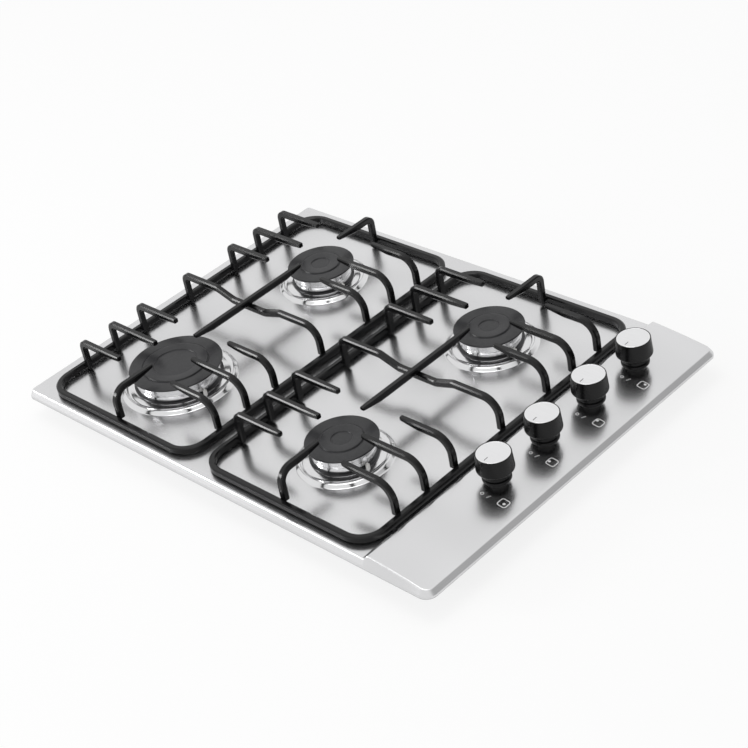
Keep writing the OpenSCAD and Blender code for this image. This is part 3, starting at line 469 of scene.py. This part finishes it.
for corner in CORNERS:
    x, y, cap_r, _ = burners[corner]
    low, high = (np.array(c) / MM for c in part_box("burner_crown_" + corner))
    r, foot, top = (high[0] - low[0]) / 2, low[2] + skirt_h, high[2]
    skirt, hollow = r - seat_w - seat_gap, r - seat_w - seat_gap - skirt_wall
    ports = round(2 * math.pi * r / port_pitch)
    middles = np.arange(ports) * 2 * math.pi / ports
    half_port = port_w / 2 / r
    angles = [middles + share * half_port for share in (-1.03, -0.97, 0.97, 1.03)]
    angles += [middles + share * math.pi / ports for share in (0.6, 1.0, 1.4)]
    for middle, width, _, _ in (WINDOW, SLOT):
        angles.append(middle + np.array([-1.01, -0.99, 0, 0.99, 1.01]) * width / 2 / r)
    angles = np.unique(np.round(np.concatenate(angles) % (2 * math.pi), 6))
    from_port = np.abs((angles * ports / (2 * math.pi) + 0.5) % 1 - 0.5) * 2 * math.pi / ports
    in_port = (from_port < half_port).astype(float)
    in_window, in_slot = (near_angle(angles, part[0], part[1] / 2 / r) for part in (WINDOW, SLOT))
    # Each row of the wall: radius, height, and how deep the window, the slot and the ports cut it.
    rows = [(hollow, foot - skirt_h, 0, 0, 0), (skirt, foot - skirt_h, 0, 0, 0),
            (skirt, foot, 0, 0, 0), (r, foot, 0, SLOT[2], 0),
            (r, foot + SLOT[3], 0, SLOT[2], 0), (r, foot + SLOT[3], 0, 0, 0),
            (r, top - WINDOW[3], 0, 0, 0), (r, top - WINDOW[3], WINDOW[2], 0, 0),
            (r, top - port_h, WINDOW[2], 0, 0), (r, top - top_edge, WINDOW[2], 0, 1),
            (r - top_edge, top, WINDOW[2], 0, 1), (r - crown_wall, top, 0, 0, 1),
            (r - crown_wall, top - port_h, 0, 0, 0), (r - crown_wall, foot + crown_floor, 0, 0, 0),
            (hollow, foot + crown_floor, 0, 0, 0)]
    rr, zz, by_window, by_slot, by_port = np.array(rows, float).T[:, :, None]
    rr = rr - by_window * in_window - by_slot * in_slot
    zz = zz - by_port * in_port * (zz - top + port_h)
    points = np.dstack([x + rr * np.cos(angles), y + rr * np.sin(angles), zz + 0 * rr])
    faces = grid_faces(len(rows), len(angles), close_rows=True, close_cols=True)
    crown = add_piece("crown_ring_" + corner, [(points, faces)], aluminium, "crown_" + corner,
                      ["burner_crown_" + corner])
    crown.data.set_sharp_from_angle(angle=math.radians(35))
    # The slot's walls and back, cut in the aluminium, are given the cup's dark coating: painted shade
    # for the deep slot.
    slot_end, slot_half, behind = foot + SLOT[3] + 0.1, 0.6 * SLOT[1] / r, r - 0.3
    refinish(crown, cup_coat, lambda px, py, pz: (np.hypot(px - x, py - y) < behind)
             & (near_angle(np.arctan2(py - y, px - x), SLOT[0], slot_half) > 0)
             & (pz < slot_end) & (pz > foot))

# Burner caps: stamped steel with a satin grey-black vitreous enamel, fired on with a faint mottle.
# Stepped rings are pressed into the top, and a ring under it drops into the crown.
cap_enamel, tree, surface = new_finish("satin_vitreous_enamel", "#2a2a2c", 0.0, 0.34,
                                       Specular_IOR_Level=0.35)
vary(tree, surface, grain(tree, 2.86, detail=3), tint=("#28282a", "#313133"), raised=(0.008, 1.0))
cap_t, cap_brim, cap_band, overhang, ring_gap, ring_w, ring_drop = 3.2, 15.4, 12.0, 4.6, 0.3, 2.0, 2.5
for corner in CORNERS:
    x, y, cap_r, top = burners[corner]
    ring = cap_r - overhang - crown_wall - ring_gap
    band_r, middle_r = cap_r - cap_brim, cap_r - cap_brim - cap_band
    under = top - cap_t
    # The underside with the ring that drops into the crown, then the top with its steps.
    outline = [(0.0, under + 0.8), (ring - ring_w, under + 0.8), (ring - ring_w, under - ring_drop),
               (ring, under - ring_drop), (ring, under), (cap_r - 0.8, under), (cap_r, under + 0.8)]
    outline += [(cap_r, top - 1.5), (cap_r - 0.9, top - 1.1), (band_r + 1.3, top - 0.95),
                (band_r + 0.6, top - 1.5), (band_r, top - 1.5), (band_r - 0.6, top - 0.1),
                (band_r - 1.4, top), (middle_r + 0.9, top - 0.3), (middle_r + 0.2, top - 1.35),
                (middle_r - 0.8, top - 1.2), (0.0, top - 1.1)]
    points, faces = revolve(soften(outline, 0.3, 3), x, y, 128)
    add_piece("cap_disc_" + corner, [(points, faces)], cap_enamel, "cap_" + corner,
              ["burner_cap_" + corner])

# Spark electrodes: white ceramic rods, one clipped into each cup's bracket. The glaze is glossy.
ceramic, tree, surface = new_finish("glazed_ceramic", "#f6f5f2", 0.0, 0.16, Coat_Weight=0.4,
                                    Coat_Roughness=0.08)
vary(tree, surface, grain(tree, 3.33), tint=("#f0efec", "#fbfaf8"))
for corner in CORNERS:
    dress("spark_electrode_" + corner, ceramic)


# Pan supports: square steel bar with broken edges, bent, welded and coated with gloss black enamel.
# Each is a looped frame on four rubber pads, with fingers, a cross bar and a long bar. The fingers on
# the left side have tight bends and blunt tips; those on the right have wide bends and fine tips.
def bar_section(top, bottom, half, edge):
    """Closed section of a bar, as points (out, across): a square with its edges broken a little steeper
    than 45 degrees."""
    side = half - 0.7 * edge
    return np.array([(top, -side), (top, side), (top - edge, half), (bottom + edge, half),
                     (bottom, side), (bottom, -side), (bottom + edge, -half), (top - edge, -half)])


def bent_path(start, heading, legs, step=7.5):
    """Points and headings in a plane along legs of (length, bend radius, bend angle in degrees). A leg
    adds length (cos h, sin h); a bend of radius r adds r (sin h' - sin h, cos h - cos h')."""
    at, h = np.array(start, float), math.radians(heading)
    points, headings = [at], [h]
    for length, radius, angle in legs:
        at = at + length * np.array([math.cos(h), math.sin(h)])
        points.append(at)
        headings.append(h)
        if angle:
            n = max(2, int(abs(angle) / step))
            a = h + math.radians(angle) * np.arange(1, n + 1) / n
            r = radius * math.copysign(1, angle)
            arc = at + r * np.stack([np.sin(a) - math.sin(h), math.cos(h) - np.cos(a)], 1)
            points += list(arc)
            headings += list(a)
            at, h = arc[-1], a[-1]
    return np.array(points), np.array(headings)


def sweep(path, headings, section, origin, along, thin=None, closed=False, upright=(0, 0, 1)):
    """Carries a section along a path in the plane of along and upright: each section point stands its
    first number out from the path in that plane and its second across it. thin scales the first
    number from the outer side, ring by ring, which tapers the bar's underside."""
    along, upright = np.array(along, float), np.array(upright, float)
    across = np.cross(along, upright)
    tangent = np.cos(headings)[:, None] * along + np.sin(headings)[:, None] * upright
    out = np.cross(across, tangent)
    first = np.repeat(section[None, :, 0], len(path), 0)
    second = np.repeat(section[None, :, 1], len(path), 0)
    if thin is not None:
        top = section[:, 0].max()
        first = top - (top - first) * thin[:, :1]
        second = second * thin[:, 1:]
    centre = np.array(origin) + path[:, :1] * along + path[:, 1:] * upright
    points = centre[:, None] + first[..., None] * out[:, None] + second[..., None] * across
    faces = list(grid_faces(len(path), len(section), close_rows=closed, close_cols=True))
    if not closed:
        m = len(section)
        faces += [list(range(m))[::-1], [(len(path) - 1) * m + j for j in range(m)]]
    return points, faces


# The enamel is glossy, with the faint waves of a fired coat. The moulded rubber is dull and grained.
enamel, tree, surface = new_finish("gloss_black_enamel", "#0e0e0f", 0.0, 0.2, Specular_IOR_Level=0.3)
vary(tree, surface, grain(tree, 2.0), rough=(0.17, 0.24), raised=(0.004, 1.0))
rubber, tree, surface = new_finish("moulded_rubber", "#262626", 0.0, 0.7)
vary(tree, surface, grain(tree, 1.11), raised=(0.05, 1.0))

bar, rod, rod_deeper, rod_wider, broken_edge = 7.0, 6.0, 1.4, 0.3, 1.5
frame_r, finger_row, row_shift, tip_outer, tip_inner = 26.0, 41.0, 1.2, 44.0, 31.0
fine_tip, blunt_tip, blunt_more, taper_l, nose_l, nose_share = 3.8, 5.7, 2.5, 24.0, 1.8, 0.7
narrow_l, narrow_share = 12.0, 0.85
tight, wide, front_bend, kink_r = 8.0, 19.0, 15.0, 12.0
dip, dip_in, dip_out, long_drop = 7.6, 27.0, 52.0, 0.6
weld_half, weld_edge = 2.5, 1.4
frame_section = bar_section(bar / 2, -bar / 2, bar / 2, broken_edge)
rod_section = bar_section(rod / 2, -rod / 2 - rod_deeper, rod / 2 + rod_wider, broken_edge)
weld_section = bar_section(weld_half, -weld_half, weld_half, weld_edge)
tip_stops = np.array([taper_l, 18.0, 10.0, 4.0, nose_l, 1.1, 0.5, 0.15, 0.0])


def tip_taper(lengths, total, tip_t):
    """Share of the rod's thickness and width left at each length: a straight taper on the underside,
    down to tip_t, a slight narrowing, and a round nose at the very end."""
    to_end = np.maximum(total - lengths, 0)
    thick = 1 - (1 - tip_t / (rod + rod_deeper)) * np.clip(1 - to_end / taper_l, 0, 1)
    nose = np.sqrt(1 - (1 - np.clip(to_end / nose_l, 0, 1)) ** 2) * (1 - nose_share) + nose_share
    narrow = narrow_share + (1 - narrow_share) * np.clip(to_end / narrow_l, 0, 1)
    return np.stack([thick * nose ** 0.5, nose * narrow], 1)


def add_bars(name, parts, side, node):
    """Adds enamelled bars whose broken edges stay crisp."""
    bars = add_piece(name, parts, enamel, "support_" + side, [node + side])
    bars.data.set_sharp_from_angle(angle=math.radians(30))


def finger(foot_x, foot_y, direction, reach, radius, tip_t, foot_z, finger_z):
    """A finger: up from its foot, over its bend, and out along direction to its reach."""
    path, headings = bent_path((0, foot_z), 90, [(finger_z - foot_z - radius, radius, -90)])
    stops = reach - tip_stops
    path = np.concatenate([path, np.stack([stops, np.full_like(stops, finger_z)], 1)])
    headings = np.concatenate([headings, np.zeros(len(stops))])
    thin = tip_taper(np.where(path[:, 0] > radius, path[:, 0], 0.0), reach, tip_t)
    return sweep(path, headings, rod_section, (foot_x, foot_y, 0), direction, thin)


for side, near, far in (("left", "fl", "rl"), ("right", "fr", "rr")):
    low, high = (np.array(c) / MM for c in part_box("support_frame_" + side))
    middle = (low + high) / 2
    half_x, half_y = (high - low)[:2] / 2 - bar / 2
    bar_z, finger_z = middle[2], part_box("support_fingers_" + side)[1][2] / MM - rod / 2
    loop, headings = bent_path((frame_r - half_x, -half_y), 0, [
        (2 * (half_x - frame_r), frame_r, 90), (2 * (half_y - frame_r), frame_r, 90)] * 2)
    round_bar = sweep(loop[:-1], headings[:-1], frame_section, (middle[0], middle[1], bar_z),
                      (1, 0, 0), closed=True, upright=(0, 1, 0))
    add_bars("frame_loop_" + side, [round_bar], side, "support_frame_")
    leg_x, leg_y = half_x - (bar + rod) / 2, half_y - (bar + rod) / 2
    fingers = []
    for corner in (near, far):
        cx, cy = burners[corner][:2]
        for row in (-1, 0, 1):
            tip = tip_outer if row else tip_inner
            y = cy + row_shift + row * finger_row
            fingers.append(finger(cx - leg_x, y, (1, 0, 0), leg_x - tip + blunt_more, tight, blunt_tip,
                                  bar_z, finger_z))
            fingers.append(finger(cx + leg_x, y, (-1, 0, 0), leg_x - tip, wide, fine_tip,
                                  bar_z, finger_z))
    pitch = burners[far][1] - burners[near][1]
    reach = leg_y - pitch / 2 - tip_inner
    fingers.append(finger(middle[0], middle[1] - leg_y, (0, 1, 0), reach, front_bend, fine_tip,
                          bar_z, finger_z))
    fingers.append(finger(middle[0], middle[1] + leg_y, (0, -1, 0), reach, tight, fine_tip,
                          bar_z, finger_z))
    add_bars("fingers_bent_" + side, fingers, side, "support_fingers_")
    # The cross bar: up from the left foot, along, down into the dip and up out of it, and down again.
    kink = math.degrees(math.atan(dip / (dip_out - dip_in)))
    k = math.radians(kink)
    slant = (dip - 2 * kink_r * (1 - math.cos(k))) / math.sin(k)
    floor_l = 2 * dip_out - 4 * kink_r * math.sin(k) - 2 * slant * math.cos(k)
    rise = finger_z - bar_z
    path, headings = bent_path((0, bar_z), 90, [
        (rise - tight, tight, -90), (leg_x - tight - dip_out, kink_r, -kink), (slant, kink_r, kink),
        (floor_l, kink_r, kink), (slant, kink_r, -kink), (leg_x - wide - dip_out, wide, -90),
        (rise - wide, 0, 0)])
    cross = sweep(path, headings, rod_section, (middle[0] - leg_x, middle[1], 0), (1, 0, 0))
    # The long bar over the dip, tapered at both ends, and the weld between the two.
    half_long = pitch / 2 - tip_inner
    stops = np.concatenate([tip_stops[::-1] - half_long, half_long - tip_stops])
    along = np.stack([stops, np.full_like(stops, finger_z - long_drop)], 1)
    long_bar = sweep(along, np.zeros(len(stops)), rod_section, (middle[0], middle[1], 0), (0, 1, 0),
                     tip_taper(np.abs(stops), half_long, fine_tip))
    weld_z = finger_z - dip + rod / 2 + np.array([-0.4, 0.2, 0.9, 1.4])
    weld = sweep(np.stack([np.zeros_like(weld_z), weld_z], 1), np.full_like(weld_z, math.pi / 2),
                 weld_section, (middle[0], middle[1], 0), (1, 0, 0))
    add_bars("spine_bars_" + side, [cross, long_bar, weld], side, "support_spine_")
    dress("support_pads_" + side, rubber)


# Gas parts in the tray: die-cast valves on an aluminium rail, a brass plug and spindle in each
# valve, drawn aluminium tubes to the cups, and a brass inlet through the back wall. Casting leaves a
# sandy grey skin, and drawing leaves lines along a tube; both are drawn coarse enough to show.
casting, tree, surface = new_finish("die_cast_aluminium", "#b4b6b8", 1.0, 0.48)
vary(tree, surface, grain(tree, 1.67, detail=3), rough=(0.4, 0.58), raised=(0.08, 1.0))
drawn, tree, surface = new_finish("drawn_aluminium_tube", "#c4c6c8", 1.0, 0.3)
vary(tree, surface, grain(tree, 11.1, (1, 8, 8)), rough=(0.22, 0.4))
for number in range(1, 5):
    dress("valve_body_%d" % number, casting)
    dress("valve_plug_%d" % number, brass)
    dress("valve_spindle_%d" % number, brass)
    dress("gas_tube_%d" % number, drawn)
dress("gas_rail", casting)
dress("gas_inlet", brass)

# Ignition unit and cable gland: moulded plastic with a half-matt grain, screwed and snapped into the
# tray. The collars under the knobs are rubber.
pale, tree, surface = new_finish("moulded_polyamide", "#dedbd2", 0.0, 0.5)
vary(tree, surface, grain(tree, 0.833), raised=(0.04, 1.0))
dark, tree, surface = new_finish("moulded_black_plastic", "#1b1b1b", 0.0, 0.5)
vary(tree, surface, grain(tree, 0.833), raised=(0.04, 1.0))
dress("ignition_unit", pale)
dress("cable_gland", dark)
dress("knob_collars", rubber)

# Knobs: black heat-resistant plastic, moulded in one with a grooved neck, over a valve spindle; its
# satin comes from a fine moulded grain. A disc of brushed aluminium with a bright cut edge is pressed
# into the top, with a fine dark mark. The disc's brushing is drawn 0.8 mm wide and very faint.
knob_plastic, tree, surface = new_finish("satin_black_phenolic", "#0c0c0d", 0.0, 0.26,
                                         Specular_IOR_Level=0.26)
vary(tree, surface, grain(tree, 0.714), rough=(0.22, 0.32), raised=(0.03, 1.0))
disc_metal, tree, surface = new_finish("brushed_aluminium_disc", "#e4e4e5", 1.0, 0.3)
vary(tree, surface, grain(tree, 16.7, (1, 20, 1)), tint=("#e1e1e2", "#e5e5e6"), rough=(0.28, 0.32))
cut_edge, tree, surface = new_finish("bright_cut_edge", "#f2f2f2", 1.0, 0.12)
vary(tree, surface, grain(tree, 3.33), rough=(0.08, 0.16))
mark_ink, tree, surface = new_finish("dark_filled_mark", "#2a2a2a", 0.0, 0.5)
vary(tree, surface, grain(tree, 1.11), rough=(0.45, 0.6))

head_r, head_top_r, head_h, under_h, under_r = 18.8, 17.6, 17.0, 2.4, 15.6
neck_r, upper_r, waist_r, foot_r, foot_h = 14.5, 14.0, 11.2, 13.4, 1.6
recess_r, recess_h, groove, disc_r, disc_t, disc_gap = 9.0, 5.4, 2.0, 16.9, 1.4, 0.05
mark_turn, mark_line = math.radians(-88), np.linspace(8.2, 13.6, 5)
mark_section = np.array([(0.05, -0.35), (0.05, 0.35), (-0.1, 0.35), (-0.1, -0.35)])
for number in range(1, 5):
    low, high = (np.array(c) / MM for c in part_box("knob_%d" % number))
    x, y = ((low + high) / 2)[:2]
    foot, top = low[2], high[2]
    body = "knob_push_%d" % number
    wide_z = top - head_h
    neck_top = wide_z - under_h
    outline = [(0.0, foot + recess_h), (recess_r, foot + recess_h), (recess_r, foot), (foot_r, foot),
               (neck_r, foot + foot_h), (neck_r, foot + 4.0), (neck_r - groove, foot + 4.8),
               (neck_r - groove, foot + 5.8), (upper_r, foot + 6.4), (upper_r, foot + 9.2),
               (waist_r, foot + 10.2), (waist_r, neck_top), (under_r, neck_top)]
    outline += [(under_r + (head_r - under_r) * math.sin(math.radians(a)),
                 neck_top + under_h * (1 - math.cos(math.radians(a)))) for a in range(12, 80, 11)]
    outline += [(head_r, wide_z), (head_top_r, top - 0.4), (head_top_r - 0.4, top),
                (disc_r + disc_gap, top), (disc_r + disc_gap, top - disc_t), (0.0, top - disc_t)]
    add_piece("knob_body_%d" % number, [revolve(soften(outline, 0.25, 3), x, y)], knob_plastic, body,
              ["knob_%d" % number])
    disc_outline = [(0.0, top - disc_t), (disc_r, top - disc_t), (disc_r, top - 0.5),
                    (disc_r - 0.5, top - 0.15), (disc_r - 0.65, top - 0.3), (0.0, top - 0.3)]
    disc = add_piece("knob_face_%d" % number, [revolve(soften(disc_outline, 0.12, 3), x, y)],
                     disc_metal, body, ["knob_disc_%d" % number])
    refinish(disc, cut_edge, lambda px, py, pz: np.hypot(px - x, py - y) > disc_r - 0.7)
    mark_path = np.stack([mark_line, np.full_like(mark_line, top - 0.28)], 1)
    mark = sweep(mark_path, np.zeros_like(mark_line), mark_section, (x, y, 0),
                 (math.cos(mark_turn), math.sin(mark_turn), 0))
    add_piece("knob_mark_%d" % number, [mark], mark_ink, body)


# Symbols beside the knobs, screen-printed on the slope of the panel in a dull white ink: a ring, a
# spark and a rounded square whose dot stands on the side of the knob's burner.
ink, tree, surface = new_finish("screen_printed_white", "#f4f4f4", 0.0, 0.5)
vary(tree, surface, grain(tree, 1.25), rough=(0.45, 0.6))


def print_on_panel(flat, faces, x, y):
    """Lays flat points (across, along) on the panel's slope, a printed film's thickness above it."""
    px, py = x + flat[:, 0], y + flat[:, 1]
    return np.stack([px, py, lip_z + panel_height(px) + 0.05], 1), faces


def ribbon(line, width, closed):
    """A flat strip of one width along a line of points, half a width off to either side of it."""
    ahead = np.roll(line, -1, 0) - np.roll(line, 1, 0)
    if not closed:
        ahead[0], ahead[-1] = line[1] - line[0], line[-1] - line[-2]
    normal = np.stack([-ahead[:, 1], ahead[:, 0]], 1) / np.linalg.norm(ahead, axis=1, keepdims=True)
    pair = np.stack([line - normal * width / 2, line + normal * width / 2], 1)
    return pair.reshape(-1, 2), grid_faces(len(line), 2, close_rows=closed)


def circle(cx, cy, r, steps=24):
    """Points round a circle: (cx + r cos a, cy + r sin a)."""
    a = np.linspace(0, 2 * math.pi, steps, endpoint=False)
    return np.stack([cx + r * np.cos(a), cy + r * np.sin(a)], 1)


# Places are across and along from the knob's middle, and the dot's from the square's. The square's
# points are (|cos a|^p, |sin a|^p) with the signs of cos and sin.
ring_at, ring_r, stroke, square_stroke, dot_r, dot_stroke = (-1.8, -20.6), 1.5, 0.85, 1.0, 0.75, 1.48
spark = np.array([(7.2, -18.4), (5.2, -20.6), (6.4, -20.3), (4.6, -22.6)])
square_at, square_half, power = (22.2, -18.4), 4.8, 0.45
dot_across, dot_along = {"l": -2.8, "r": 1.0}, {"f": -0.6, "r": 2.0}
square_a = np.linspace(0, 2 * math.pi, 32, endpoint=False)
rounds = np.stack([np.cos(square_a), np.sin(square_a)], 1)
square = np.sign(rounds) * np.abs(rounds) ** power * square_half + square_at
for number, corner in zip(range(1, 5), ("rr", "rl", "fl", "fr")):
    low, high = (np.array(c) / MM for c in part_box("knob_%d" % number))
    x, y = ((low + high) / 2)[:2]
    dot = circle(square_at[0] + dot_across[corner[1]], square_at[1] + dot_along[corner[0]], dot_r, 16)
    shapes = [(circle(*ring_at, ring_r), stroke, True), (spark, stroke, False),
              (square, square_stroke, True), (dot, dot_stroke, True)]
    prints = [print_on_panel(*ribbon(*shape), x, y) for shape in shapes]
    add_piece("knob_symbols_%d" % number, prints, ink, "base", weld=False)

bpy.context.scene.view_settings.view_transform = "Standard"
